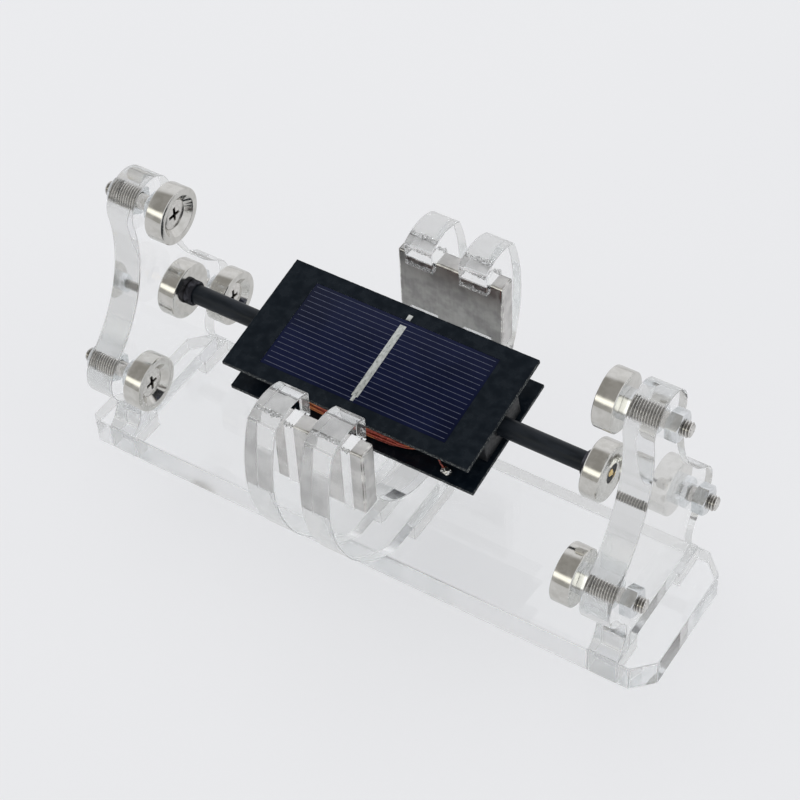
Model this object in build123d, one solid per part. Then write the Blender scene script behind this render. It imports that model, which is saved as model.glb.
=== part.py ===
from build123d import *
import math
import os

# Demonstration electric motor, in millimetres. A rotor of two solar panels and a coil hovers
# on ring magnets between two clear stands, and two block magnets in a clear cradle drive it.
# +Z is up, +X runs along the rotor and -Y is the front. The origin is the middle of the
# base's underside.

# Sheet and base
SHEET = 8.0
BASE_OVERHANG = 7.3
BASE_WIDTH = 41.4
RIGHT_CORNER_CUT = 5.1
FRONT_LEFT_CORNER_CUT = 1.5
REAR_LEFT_CORNER_CUT = 5.1
SLOT_CLEARANCE = 0.05

# Places that the whole motor hangs on
GROUP_X = -1.0
AXIS_Z = 47.7
REST_TURN = 11.1
ROTOR_MIDDLE_X = -2.3
ROTOR_LENGTH = 125.2
END_ROOM = 4.6

# Stands
RING_CIRCLE_RADIUS = 25.2
LOWER_RING_ANGLE = 45.0
BOSS_RADIUS = 7.8
FLANK_RADIUS = 35.8
WAIST_HALF_WIDTH = 16.5
WAIST_HEIGHT = 15.5
FOOT_LENGTH = 10.0

# Ring magnets and their M4 fasteners
RING_DIAMETER = 15.0
RING_THICKNESS = 5.0
RING_BEVEL = 0.35
COUNTERSINK_DIAMETER = 11.2
SCREW_DIAMETER = 4.0
SCREW_LENGTH = 20.0
SCREW_HEAD_DIAMETER = 7.8
SCREW_HEAD_RIM = 0.3
SCREW_POINT_CHAMFER = 0.4
CROSS_LENGTH = 4.2
CROSS_WIDTH = 0.9
CROSS_DEPTH = 1.7
HOLE_CLEARANCE = 0.1
THREAD_CLEARANCE = 0.02
NUT_FLATS = 7.0
NUT_THICKNESS = 3.2
NUT_FACE_RADIUS = 3.45
NUT_SIDES = 6
NUT_CHAMFER_ANGLE = 30.0

# Cradle and block magnets
CRADLE_RADIUS = 43.5
CRADLE_TOP = 64.6
CRADLE_GAP = 7.5
TENON_HALF_LENGTH = 9.5
LIP_INNER = 26.8
LIP_OVERLAP = 2.2
BLOCK_LENGTH = 30.0
BLOCK_THICKNESS = 5.0
BLOCK_HEIGHT = 20.0
BLOCK_INNER = 28.7
BLOCK_BOTTOM = 39.7
BLOCK_BEVEL = 0.4

# Rotor
SHAFT_DIAMETER = 5.0
SHAFT_BORE = 2.0
SHAFT_RECESS = 0.4
COLLAR_DIAMETER = 6.5
COLLAR_LENGTH = 2.0
PIN_DIAMETER = 2.0
PIN_DEPTH = 6.0
POINT_LENGTH = 2.2
POINT_GAP = 0.3
PIN_SHOW = 0.7

# Panels, between which the coil lies
PANEL_X = -2.65
PANEL_LENGTH = 69.4
PANEL_WIDTH = 34.0
PANEL_THICKNESS = 1.2
PANEL_OUTSIDE = 5.85
CELL_LENGTH = 52.4
CELL_WIDTH = 26.0
CELL_THICKNESS = 0.25
BUS_WIDTH = 1.8
BUS_LENGTH = 22.6
BUS_THICKNESS = 0.08
ROTOR_BLOCK_NEAR = 23.5
ROTOR_BLOCK_LENGTH = 10.0
ROTOR_BLOCK_WIDTH = 16.0

# Coil
WIRE_DIAMETER = 0.5
WIRE_PITCH = 0.95
WHOLE_LOOPS = 8
COIL_HALF_LENGTH = 22.0
COIL_HALF_WIDTH = 14.65
COIL_CORNER = 6.0
COIL_CLEARANCE = 0.05
CORE_HALF_HEIGHT = 4.2
FORMER_HALF_LENGTH = 15.0
FORMER_HALF_WIDTH = 8.0
FORMER_CORNER = 3.0
TAIL_X = 25.6
SOLDER_DIAMETER = 2.4
SOLDER_HEIGHT = 1.3
SOLDER_ROUND = 0.7

# The rotor's length sets where the stands and their magnets are, and how long the base is
STAND_INNER_FACE = ROTOR_LENGTH / 2 + END_ROOM
RING_INNER_FACE = STAND_INNER_FACE - NUT_THICKNESS - RING_THICKNESS
BASE_LENGTH = 2 * (STAND_INNER_FACE + SHEET + BASE_OVERHANG)


def save(shape, name):
    """Writes one piece to its own file."""
    shape.label = name
    export_step(shape, f"parts/{name}.step")


def polar(centre, radius, degrees):
    """Point at an angle on a circle."""
    turn = math.radians(degrees)
    return (centre[0] + radius * math.cos(turn), centre[1] + radius * math.sin(turn))


def angle_to(centre, point):
    """Angle in degrees from a circle's centre to a point."""
    return math.degrees(math.atan2(point[1] - centre[1], point[0] - centre[0]))


def arc(centre, radius, start, end):
    """Edge along a circle, from one angle to another."""
    middle = (start + end) / 2
    return ThreePointArc(
        polar(centre, radius, start),
        polar(centre, radius, middle),
        polar(centre, radius, end),
    )


def box(x0, x1, y0, y1, z0, z1):
    """Block between two corners."""
    size = (x1 - x0, y1 - y0, z1 - z0)
    place = ((x0 + x1) / 2, (y0 + y1) / 2, (z0 + z1) / 2)
    return Pos(*place) * Box(*size)


def rectangle(x0, x1, y0, y1):
    """Flat rectangle between two corners."""
    return Pos((x0 + x1) / 2, (y0 + y1) / 2) * Rectangle(x1 - x0, y1 - y0)


def turned(points):
    """Solid turned about +X, from a closed outline of (along the axis, radius) points."""
    outline = make_face(Polyline(*points, close=True))
    return revolve(outline, Axis.X)


def plate(outline, x0):
    """Sheet with its outline in the YZ plane, from x0 towards +X."""
    return Pos(x0, 0, 0) * extrude(Plane.YZ * outline, amount=SHEET)


# Stands: three bosses joined by hollow flanks, on two feet that pass through the base


RING_PLACES = ("top", "front", "rear")
FULL_TURN = 360


def ring_centre(name):
    """Where a ring magnet's axis crosses the YZ plane."""
    angles = {"top": 90, "front": 180 + LOWER_RING_ANGLE, "rear": -LOWER_RING_ANGLE}
    return polar((0, AXIS_Z), RING_CIRCLE_RADIUS, angles[name])


def half_stand():
    """The rear half of a stand's outline, closed along its middle line."""
    top = ring_centre("top")
    low = ring_centre("rear")
    half_y = (low[0] - top[0]) / 2
    half_z = (low[1] - top[1]) / 2
    half_span = math.hypot(half_y, half_z)
    away = math.sqrt((FLANK_RADIUS + BOSS_RADIUS) ** 2 - half_span**2)
    flank = (
        top[0] + half_y - away * half_z / half_span,
        top[1] + half_z + away * half_y / half_span,
    )
    over = low[0] - WAIST_HALF_WIDTH
    drop = low[1] - WAIST_HEIGHT
    waist_radius = (drop**2 + over**2 - BOSS_RADIUS**2) / (2 * (BOSS_RADIUS + over))
    waist = (WAIST_HALF_WIDTH + waist_radius, WAIST_HEIGHT)
    edge = BASE_WIDTH / 2
    shoulder = WAIST_HEIGHT - math.sqrt(waist_radius**2 - (waist[0] - edge) ** 2)
    foot_inside = edge - FOOT_LENGTH
    outline = [
        arc(top, BOSS_RADIUS, 90, angle_to(top, flank)),
        arc(flank, FLANK_RADIUS, angle_to(flank, top), FULL_TURN + angle_to(flank, low)),
        arc(low, BOSS_RADIUS, angle_to(low, flank), angle_to(low, waist)),
        arc(waist, waist_radius, angle_to(waist, low), FULL_TURN + angle_to(waist, (edge, shoulder))),
        Polyline(
            (edge, shoulder),
            (edge, 0),
            (foot_inside, 0),
            (foot_inside, SHEET),
            (0, SHEET),
            (0, top[1] + BOSS_RADIUS),
        ),
    ]
    return make_face(outline)


def stand(side):
    """One stand with its three screw holes."""
    half = half_stand()
    outline = half + mirror(half, about=Plane.YZ)
    for name in RING_PLACES:
        outline -= Pos(*ring_centre(name)) * Circle(SCREW_DIAMETER / 2 + HOLE_CLEARANCE)
    inner = GROUP_X + side * STAND_INNER_FACE
    return plate(outline, min(inner, inner + side * SHEET))


# Ring magnets and fasteners: each is turned about the axis that points away from the rotor


def ring_magnet(bore_radius):
    """Plain ring magnet with bevelled rims, from 0 along +X."""
    outside = RING_DIAMETER / 2
    return turned(
        [
            (0, bore_radius),
            (0, outside - RING_BEVEL),
            (RING_BEVEL, outside),
            (RING_THICKNESS - RING_BEVEL, outside),
            (RING_THICKNESS, outside - RING_BEVEL),
            (RING_THICKNESS, bore_radius),
        ]
    )


def countersunk_magnet():
    """Ring magnet with a right-angled countersink at its face towards the rotor."""
    bore = SCREW_DIAMETER / 2 + HOLE_CLEARANCE
    mouth = COUNTERSINK_DIAMETER / 2
    cone = turned([(0, 0), (0, mouth), (mouth - bore, bore), (mouth - bore, 0)])
    return ring_magnet(bore) - cone


def countersunk_screw():
    """Screw with a cross recess. Its head's top is at 0 and its point along +X."""
    shank = SCREW_DIAMETER / 2
    head = SCREW_HEAD_DIAMETER / 2
    screw = turned(
        [
            (0, 0),
            (0, head),
            (SCREW_HEAD_RIM, head),
            (SCREW_HEAD_RIM + head - shank, shank),
            (SCREW_LENGTH - SCREW_POINT_CHAMFER, shank),
            (SCREW_LENGTH, shank - SCREW_POINT_CHAMFER),
            (SCREW_LENGTH, 0),
        ]
    )
    half = CROSS_LENGTH / 2
    thin = CROSS_WIDTH / 2
    screw -= box(0, CROSS_DEPTH, -half, half, -thin, thin)
    screw -= box(0, CROSS_DEPTH, -thin, thin, -half, half)
    return screw


def hex_nut():
    """Hexagon nut from 0 along +X, its corners chamfered on both faces."""
    hexagon = RegularPolygon(NUT_FLATS / 2, NUT_SIDES, major_radius=False)
    nut = extrude(Plane.YZ * hexagon, amount=NUT_THICKNESS)
    corner = NUT_FLATS / 2 / math.cos(math.pi / NUT_SIDES)
    slope = (corner - NUT_FACE_RADIUS) * math.tan(math.radians(NUT_CHAMFER_ANGLE))
    bore = SCREW_DIAMETER / 2 + THREAD_CLEARANCE
    envelope = turned(
        [
            (0, bore),
            (0, NUT_FACE_RADIUS),
            (slope, corner),
            (NUT_THICKNESS - slope, corner),
            (NUT_THICKNESS, NUT_FACE_RADIUS),
            (NUT_THICKNESS, bore),
        ]
    )
    return nut & envelope


def outward(side, distance, centre=(0.0, AXIS_Z)):
    """Place on an axis along X, its +X turned away from the motor's middle plane."""
    turn = 0 if side > 0 else 180
    return Pos(GROUP_X + side * distance, centre[0], centre[1]) * Rot(0, 0, turn)


# Cradle: two C-shaped plates whose tenons pass through the base


def cradle_outline():
    """The outline of a cradle plate, in Y and Z."""
    ring = Pos(0, AXIS_Z) * Circle(CRADLE_RADIUS)
    outline = ring & rectangle(-CRADLE_RADIUS, CRADLE_RADIUS, SHEET, CRADLE_TOP)
    window_bottom = BLOCK_BOTTOM + LIP_OVERLAP
    window_top = BLOCK_BOTTOM + BLOCK_HEIGHT - LIP_OVERLAP
    hollow_radius = math.hypot(LIP_INNER, AXIS_Z - window_bottom)
    hollow = Pos(0, AXIS_Z) * Circle(hollow_radius)
    outline -= hollow & rectangle(-hollow_radius, hollow_radius, 0, window_bottom)
    outline -= rectangle(-LIP_INNER, LIP_INNER, window_bottom, CRADLE_TOP)
    block_outer = BLOCK_INNER + BLOCK_THICKNESS
    for side in (-1, 1):
        pocket = sorted((side * BLOCK_INNER, side * block_outer))
        window = sorted((side * LIP_INNER, side * BLOCK_INNER))
        outline -= rectangle(*pocket, BLOCK_BOTTOM, BLOCK_BOTTOM + BLOCK_HEIGHT)
        outline -= rectangle(*window, window_bottom, window_top)
    ring_bottom = AXIS_Z - hollow_radius
    return outline + rectangle(-TENON_HALF_LENGTH, TENON_HALF_LENGTH, 0, ring_bottom)


def cradle_plate_start(side):
    """The lower x of a cradle plate."""
    inner = GROUP_X + side * CRADLE_GAP / 2
    return min(inner, inner + side * SHEET)


def block_magnet(side):
    """Bar magnet that fills the pockets of both plates."""
    inner = side * BLOCK_INNER
    outer = side * (BLOCK_INNER + BLOCK_THICKNESS)
    half = BLOCK_LENGTH / 2
    top = BLOCK_BOTTOM + BLOCK_HEIGHT
    block = box(GROUP_X - half, GROUP_X + half, *sorted((inner, outer)), BLOCK_BOTTOM, top)
    return chamfer(block.edges(), BLOCK_BEVEL)


# Base: a sheet with cut corners, with slots for the stands' feet and the cradle's tenons


def base_plate():
    """The base, with every slot a little wider than what it holds."""
    right = BASE_LENGTH / 2
    edge = BASE_WIDTH / 2
    corners = [
        (-right + FRONT_LEFT_CORNER_CUT, -edge),
        (right - RIGHT_CORNER_CUT, -edge),
        (right, -edge + RIGHT_CORNER_CUT),
        (right, edge - RIGHT_CORNER_CUT),
        (right - RIGHT_CORNER_CUT, edge),
        (-right + REAR_LEFT_CORNER_CUT, edge),
        (-right, edge - REAR_LEFT_CORNER_CUT),
        (-right, -edge + FRONT_LEFT_CORNER_CUT),
    ]
    base = extrude(make_face(Polyline(*corners, close=True)), amount=SHEET)
    room = SLOT_CLEARANCE
    tenon = TENON_HALF_LENGTH + room
    foot_inside = edge - FOOT_LENGTH - room
    for side in (-1, 1):
        start = cradle_plate_start(side)
        base -= box(start - room, start + SHEET + room, -tenon, tenon, 0, SHEET)
        inner = GROUP_X + side * STAND_INNER_FACE
        across = sorted((inner - side * room, inner + side * (SHEET + room)))
        for end in (-1, 1):
            along = sorted((end * foot_inside, end * (edge + room)))
            base -= box(*across, *along, 0, SHEET)
    return base


# Rotor: built about the X axis with its panels level, then turned and lifted


def rotor_place():
    """Where the rotor rests."""
    return Pos(0, 0, AXIS_Z) * Rot(REST_TURN, 0, 0)


def rotor_outward(side, distance):
    """Place on the rotor's axis, its +X turned away from the rotor's middle."""
    turn = 0 if side > 0 else 180
    return Pos(ROTOR_MIDDLE_X + side * distance, 0, 0) * Rot(0, 0, turn)


def half_shaft(side):
    """Tube from its rotor block out through its ring magnet."""
    near = abs(PANEL_X + side * ROTOR_BLOCK_NEAR - ROTOR_MIDDLE_X)
    far = ROTOR_LENGTH / 2 - SHAFT_RECESS
    tube = turned(
        [
            (near, SHAFT_BORE / 2),
            (near, SHAFT_DIAMETER / 2),
            (far, SHAFT_DIAMETER / 2),
            (far, SHAFT_BORE / 2),
        ]
    )
    return rotor_outward(side, 0) * tube


def pivot_pin(side):
    """Pin in the end of a half shaft. The left one's point meets the stand."""
    far = ROTOR_LENGTH / 2 - SHAFT_RECESS
    radius = PIN_DIAMETER / 2
    if side < 0:
        stand_face = GROUP_X - STAND_INNER_FACE
        apex = ROTOR_MIDDLE_X - stand_face - POINT_GAP
        outline = [(far - PIN_DEPTH, 0), (far - PIN_DEPTH, radius), (apex - POINT_LENGTH, radius)]
        outline += [(apex, 0)]
    else:
        apex = far + PIN_SHOW
        outline = [(far - PIN_DEPTH, 0), (far - PIN_DEPTH, radius), (far, radius), (apex, 0)]
    return rotor_outward(side, 0) * turned(outline)


def collar(side):
    """Ring that keeps the rotor's magnet in its place on the shaft."""
    far = ROTOR_LENGTH / 2 - RING_THICKNESS
    near = far - COLLAR_LENGTH
    inside = SHAFT_DIAMETER / 2
    outside = COLLAR_DIAMETER / 2
    ring = turned([(near, inside), (near, outside), (far, outside), (far, inside)])
    return rotor_outward(side, 0) * ring


def rotor_block(side):
    """Block glued between the panels, which holds a half shaft."""
    near = PANEL_X + side * ROTOR_BLOCK_NEAR
    along = sorted((near, near + side * ROTOR_BLOCK_LENGTH))
    half = ROTOR_BLOCK_WIDTH / 2
    inside = PANEL_OUTSIDE - PANEL_THICKNESS
    bore = Pos(sum(along) / 2, 0, 0) * Rot(0, 90, 0) * Cylinder(SHAFT_DIAMETER / 2, ROTOR_BLOCK_LENGTH)
    return box(*along, -half, half, -inside, inside) - bore


def panel(side):
    """A panel's board with a shallow bed for its cell, the cell, and the cell's bus bar."""
    half_length = PANEL_LENGTH / 2
    half_width = PANEL_WIDTH / 2
    inside = side * (PANEL_OUTSIDE - PANEL_THICKNESS)
    outside = side * PANEL_OUTSIDE
    bed = side * (PANEL_OUTSIDE - CELL_THICKNESS)
    bar = side * (PANEL_OUTSIDE - BUS_THICKNESS)
    across = (-half_width, half_width)
    board = box(-half_length, half_length, *across, *sorted((inside, outside)))
    cell = box(
        -CELL_LENGTH / 2, CELL_LENGTH / 2, -CELL_WIDTH / 2, CELL_WIDTH / 2, *sorted((bed, outside))
    )
    bus = box(-BUS_WIDTH / 2, BUS_WIDTH / 2, -BUS_LENGTH / 2, BUS_LENGTH / 2, *sorted((bar, outside)))
    place = Pos(PANEL_X, 0, 0)
    return place * (board - cell), place * (cell - bus), place * bus


def racetrack(half_length, half_width, corner):
    """Rounded rectangle about the origin."""
    return RectangleRounded(2 * half_length, 2 * half_width, corner)


def coil_route():
    """The wire's corners: a rising rounded rectangle, with a straight tail at each end."""
    quarters = [(-1, -1), (-1, 1), (1, 1), (1, -1)]
    corners = 4 * WHOLE_LOOPS + 2
    rise = WIRE_PITCH / 4
    start_z = -rise * (corners + 1) / 2
    points = [(TAIL_X, -COIL_HALF_WIDTH, start_z)]
    for count in range(corners):
        x, y = quarters[count % 4]
        height = start_z + (count + 1) * rise
        points.append((x * COIL_HALF_LENGTH, y * COIL_HALF_WIDTH, height))
    points.append((TAIL_X, COIL_HALF_WIDTH, -start_z))
    return points


def coil_winding():
    """The coil's outer layer, one unbroken wire."""
    points = coil_route()
    path = FilletPolyline(*points, radius=COIL_CORNER)
    start = Plane(origin=path @ 0, z_dir=path % 0)
    wire = sweep(start * Circle(WIRE_DIAMETER / 2), path=path)
    section = math.pi * WIRE_DIAMETER**2 / 4
    print("winding volume over section times length", wire.volume / (section * path.length))
    gap = least_gap(path)
    print("least gap of the winding to itself", round(gap, 3))
    return Pos(PANEL_X, 0, 0) * wire


def least_gap(path):
    """Least distance between loops, from points spread evenly along the wire."""
    count = 1600
    points = [path @ (step / count) for step in range(count + 1)]
    spacing = path.length / count
    apart = math.ceil(4 * COIL_CORNER / spacing)
    nearest = min(
        (points[i] - points[k]).length
        for i in range(0, count + 1, 4)
        for k in range(i + apart, count + 1)
    )
    return nearest - WIRE_DIAMETER


def coil_core():
    """The inner layers of the coil as one plain ring round the former."""
    shrink = WIRE_DIAMETER / 2 + COIL_CLEARANCE
    outer = racetrack(
        COIL_HALF_LENGTH - shrink, COIL_HALF_WIDTH - shrink, COIL_CORNER - shrink
    )
    ring = outer - racetrack(FORMER_HALF_LENGTH, FORMER_HALF_WIDTH, FORMER_CORNER)
    solid = extrude(ring, amount=2 * CORE_HALF_HEIGHT)
    return Pos(PANEL_X, 0, -CORE_HALF_HEIGHT) * solid


def coil_former():
    """The block that the coil is wound on, glued between the panels."""
    inside = PANEL_OUTSIDE - PANEL_THICKNESS
    outline = racetrack(FORMER_HALF_LENGTH, FORMER_HALF_WIDTH, FORMER_CORNER)
    return Pos(PANEL_X, 0, -inside) * extrude(outline, amount=2 * inside)


def solder_joint(side):
    """Bead on a panel's inner face, round the end of the wire."""
    inside = PANEL_OUTSIDE - PANEL_THICKNESS
    bead = extrude(Circle(SOLDER_DIAMETER / 2), amount=SOLDER_HEIGHT)
    bead = fillet(bead.edges().sort_by(Axis.Z)[-1], SOLDER_ROUND)
    flip = 180 if side > 0 else 0
    place = Pos(TAIL_X, side * COIL_HALF_WIDTH, side * inside) * Rot(flip, 0, 0)
    route = coil_route()
    end = route[-1] if side > 0 else route[0]
    tail = Pos(*end) * Rot(0, 90, 0) * Cylinder(WIRE_DIAMETER / 2, SOLDER_DIAMETER)
    half_tail = tail & box(0, TAIL_X, -PANEL_WIDTH, PANEL_WIDTH, -inside, inside)
    return Pos(PANEL_X, 0, 0) * (place * bead - half_tail)


def build_frame():
    """Base, stands, cradle and block magnets."""
    save(base_plate(), "base_plate")
    outline = cradle_outline()
    for side, name in ((-1, "left"), (1, "right")):
        save(stand(side), f"{name}_stand")
        save(plate(outline, cradle_plate_start(side)), f"{name}_cradle_plate")
    save(block_magnet(-1), "front_block_magnet")
    save(block_magnet(1), "rear_block_magnet")


def build_bearings():
    """Three ring magnets on each stand, each with its screw and two nuts."""
    depth = (COUNTERSINK_DIAMETER - SCREW_HEAD_DIAMETER) / 2 - SCREW_HEAD_RIM
    for side, name in ((-1, "left"), (1, "right")):
        for place in RING_PLACES:
            centre = ring_centre(place)
            label = f"{name}_{place}"
            back = RING_INNER_FACE + RING_THICKNESS
            outside = STAND_INNER_FACE + SHEET
            save(outward(side, RING_INNER_FACE, centre) * countersunk_magnet(), f"{label}_magnet")
            head = RING_INNER_FACE + depth
            save(outward(side, head, centre) * countersunk_screw(), f"{label}_screw")
            save(outward(side, back, centre) * hex_nut(), f"{label}_inner_nut")
            save(outward(side, outside, centre) * hex_nut(), f"{label}_outer_nut")


def build_rotor():
    """Everything that spins."""
    place = rotor_place()
    magnet_start = ROTOR_LENGTH / 2 - RING_THICKNESS
    for side, name in ((-1, "left"), (1, "right")):
        magnet = rotor_outward(side, magnet_start) * ring_magnet(SHAFT_DIAMETER / 2)
        save(place * magnet, f"{name}_rotor_magnet")
        save(place * half_shaft(side), f"{name}_half_shaft")
        save(place * pivot_pin(side), f"{name}_pivot_pin")
        save(place * collar(side), f"{name}_collar")
        save(place * rotor_block(side), f"{name}_rotor_block")
    for side, name in ((1, "upper"), (-1, "lower")):
        board, cell, bus = panel(side)
        save(place * board, f"{name}_panel_board")
        save(place * cell, f"{name}_solar_cell")
        save(place * bus, f"{name}_bus_bar")
        save(place * solder_joint(side), f"{name}_solder_joint")
    save(place * coil_former(), "coil_former")
    save(place * coil_core(), "coil_core")
    save(place * coil_winding(), "coil_winding")


os.makedirs("parts", exist_ok=True)
build_frame()
build_bearings()
build_rotor()
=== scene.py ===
import bmesh
import bpy
import math
import random
from mathutils import Matrix, Vector, noise


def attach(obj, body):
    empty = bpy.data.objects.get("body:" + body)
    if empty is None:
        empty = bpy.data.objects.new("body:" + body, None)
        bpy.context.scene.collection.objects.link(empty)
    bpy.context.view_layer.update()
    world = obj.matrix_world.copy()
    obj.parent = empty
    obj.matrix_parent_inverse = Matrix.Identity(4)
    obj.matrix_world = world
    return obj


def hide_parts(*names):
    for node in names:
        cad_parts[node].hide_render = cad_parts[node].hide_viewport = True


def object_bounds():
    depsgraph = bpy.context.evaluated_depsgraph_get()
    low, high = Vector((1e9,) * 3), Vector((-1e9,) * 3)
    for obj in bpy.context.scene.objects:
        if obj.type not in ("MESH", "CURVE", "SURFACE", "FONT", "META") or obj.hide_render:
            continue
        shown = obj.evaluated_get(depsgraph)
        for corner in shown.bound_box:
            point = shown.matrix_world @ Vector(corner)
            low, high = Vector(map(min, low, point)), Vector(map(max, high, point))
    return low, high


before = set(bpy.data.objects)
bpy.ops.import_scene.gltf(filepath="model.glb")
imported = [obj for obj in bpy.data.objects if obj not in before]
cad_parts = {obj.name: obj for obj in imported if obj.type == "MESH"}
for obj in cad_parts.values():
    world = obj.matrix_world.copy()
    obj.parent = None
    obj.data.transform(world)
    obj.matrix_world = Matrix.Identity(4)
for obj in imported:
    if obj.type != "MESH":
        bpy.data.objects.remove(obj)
cad_low, cad_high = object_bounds()
scene = bpy.context.scene

# Camera: a long lens from the front right and above, fitted to the photograph's own edges and
# screw places, so that every piece falls where the photograph shows it.
CAMERA_PLACE = Vector((0.21795, -0.31073, 0.44635))
CAMERA_RIGHT = Vector((0.84388, 0.53497, -0.04091))
CAMERA_UP = Vector((-0.37080, 0.63663, 0.67618))
CAMERA_BACK = Vector((0.38777, -0.55544, 0.73561))
camera_lens = bpy.data.cameras.new("camera")
camera_lens.sensor_width = 36
camera_lens.lens = 102.88
camera_lens.shift_x = 0.0029
camera_lens.shift_y = 0.0199


def placed(name, data):
    """An object with this data, in the scene."""
    holder = bpy.data.objects.new(name, data)
    scene.collection.objects.link(holder)
    return holder


camera = placed("camera", camera_lens)
camera.matrix_world = (
    Matrix.Translation(CAMERA_PLACE)
    @ Matrix((CAMERA_RIGHT, CAMERA_UP, CAMERA_BACK)).transposed().to_4x4()
)
scene.camera = camera
scene.view_settings.view_transform = "Standard"
scene.cycles.max_bounces = 32
scene.cycles.transmission_bounces = 32
scene.cycles.glossy_bounces = 16
scene.cycles.transparent_max_bounces = 32


# Studio: a pale floor and pale walls all round. What shines sees a few wide bands turned about
# the object's length: a dull floor edge, a cream window, the dark place overhead, a pale wall.
FLOOR_DROP = 0.0003
FLOOR_RADIUS = 3.0
PALE_FLOOR = (0.83, 0.83, 0.845, 1)
PALER_FLOOR = (0.85, 0.85, 0.86, 1)
PALE_WALL = (0.80, 0.805, 0.82, 1)
BACKDROP = (0.84, 0.845, 0.86, 1)
FLOOR_GLOW = (0.82, 0.825, 0.842, 1)
FLOOR_MIRRORED = (0.66, 0.66, 0.66, 1)
GLOW_SHARE = 0.7
LOW_FRONT = (0.42, 0.415, 0.395, 1)
BANDS = (
    (14, 24, (1.65, 1.62, 1.47, 1)),
    (31, 42, (0.35, 0.34, 0.32, 1)),
    (106, 124, (0.84, 0.84, 0.85, 1)),
)
SIDE_START = 0.6
SIDE_END = 0.85
GLASS_CALM = 0.75
LAMPS = (
    ("key_softbox", (-0.55, 0.35, 0.75), 0.8, 2.1),
    ("fill_softbox", (0.75, 0.05, 0.55), 0.5, 0.8),
)
LAMP_AIM = Vector((0, 0, 0.03))


def add_node(tree, kind, inputs=(), **settings):
    """One node, with its settings, plain input values and links."""
    made = tree.nodes.new(kind)
    for key, value in settings.items():
        setattr(made, key, value)
    for key, value in dict(inputs).items():
        if isinstance(value, bpy.types.NodeSocket):
            tree.links.new(value, made.inputs[key])
        else:
            made.inputs[key].default_value = value
    return made


def mixed(tree, share, first, second):
    """A colour between two, by a share."""
    inputs = {0: share, 6: first, 7: second}
    return add_node(tree, "ShaderNodeMix", inputs, data_type="RGBA").outputs[2]


def blended(tree, share, first, second):
    """A value between two, by a share."""
    inputs = {0: share, 2: first, 3: second}
    return add_node(tree, "ShaderNodeMix", inputs, data_type="FLOAT").outputs[0]


def maths(tree, operation, *values, **settings):
    """The result of a sum on one to three values."""
    inputs = dict(enumerate(values))
    return add_node(tree, "ShaderNodeMath", inputs, operation=operation, **settings).outputs[0]


def ranged(tree, value, low, high, to_low=0.0, to_high=1.0):
    """A value brought smoothly from one range to another."""
    inputs = {0: value, 1: low, 2: high, 3: to_low, 4: to_high}
    made = add_node(tree, "ShaderNodeMapRange", inputs, interpolation_type="SMOOTHSTEP")
    return made.outputs[0]


world = bpy.data.worlds.new("studio")
scene.world = world
world.use_nodes = True
studio = world.node_tree
studio.nodes.clear()
around = add_node(studio, "ShaderNodeTexCoord").outputs["Generated"]
part_of = add_node(studio, "ShaderNodeSeparateXYZ", {0: around}).outputs
to_front = maths(studio, "MULTIPLY", part_of[1], -1.0)
turn = maths(studio, "DEGREES", maths(studio, "ARCTAN2", part_of[2], to_front))
tone = LOW_FRONT
for start, end, colour in BANDS:
    tone = mixed(studio, ranged(studio, turn, start, end), tone, colour)
sideways = maths(studio, "ABSOLUTE", part_of[0])
tone = mixed(studio, ranged(studio, sideways, SIDE_START, SIDE_END), tone, PALE_WALL)
rays = add_node(studio, "ShaderNodeLightPath").outputs
tone = mixed(studio, rays["Is Glossy Ray"], PALE_WALL, tone)
seen = maths(studio, "MAXIMUM", rays["Is Camera Ray"], rays["Is Transmission Ray"])
depth = rays["Transmission Depth"]
calm = maths(studio, "MULTIPLY_ADD", depth, GLASS_CALM, seen, use_clamp=True)
sky = add_node(studio, "ShaderNodeBackground", {0: mixed(studio, calm, tone, BACKDROP), 1: 1.0})
add_node(studio, "ShaderNodeOutputWorld", {0: sky.outputs[0]})

for name, place, size, power in LAMPS:
    lamp = bpy.data.lights.new(name, "AREA")
    lamp.size = size
    lamp.energy = power
    holder = placed(name, lamp)
    holder.location = place
    holder.visible_glossy = False
    holder.visible_transmission = False
    holder.rotation_euler = (LAMP_AIM - Vector(place)).to_track_quat("-Z", "Y").to_euler()

floor_mesh = bpy.data.meshes.new("floor")
floor_shape = bmesh.new()
bmesh.ops.create_circle(floor_shape, cap_ends=True, segments=64, radius=FLOOR_RADIUS)
bmesh.ops.translate(floor_shape, verts=floor_shape.verts, vec=(0, 0, -FLOOR_DROP))
floor_shape.to_mesh(floor_mesh)
floor_shape.free()
floor = placed("floor", floor_mesh)
floor_paint = bpy.data.materials.new("floor_paint")
floor_paint.use_nodes = True
coat = floor_paint.node_tree
speckle = add_node(coat, "ShaderNodeTexNoise", {"Scale": 40.0, "Detail": 3.0})
tint = mixed(coat, ranged(coat, speckle.outputs[0], 0.3, 0.7), PALE_FLOOR, PALER_FLOOR)
floor_skin = coat.nodes["Principled BSDF"]
coat.links.new(tint, floor_skin.inputs["Base Color"])
floor_skin.inputs["Roughness"].default_value = 0.6
floor_skin.inputs["Specular IOR Level"].default_value = 0.15
floor_rays = add_node(coat, "ShaderNodeLightPath").outputs
glow_share = ranged(coat, floor_rays["Is Diffuse Ray"], 0.0, 1.0, GLOW_SHARE, 0.0)
glow_tone = mixed(coat, floor_rays["Is Reflection Ray"], FLOOR_GLOW, FLOOR_MIRRORED)
glow = add_node(coat, "ShaderNodeEmission", {0: glow_tone, 1: 1.0})
floor_look = add_node(
    coat, "ShaderNodeMixShader", {0: glow_share, 1: floor_skin.outputs[0], 2: glow.outputs[0]}
)
coat.links.new(floor_look.outputs[0], coat.nodes["Material Output"].inputs["Surface"])
floor_mesh.materials.append(floor_paint)


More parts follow.
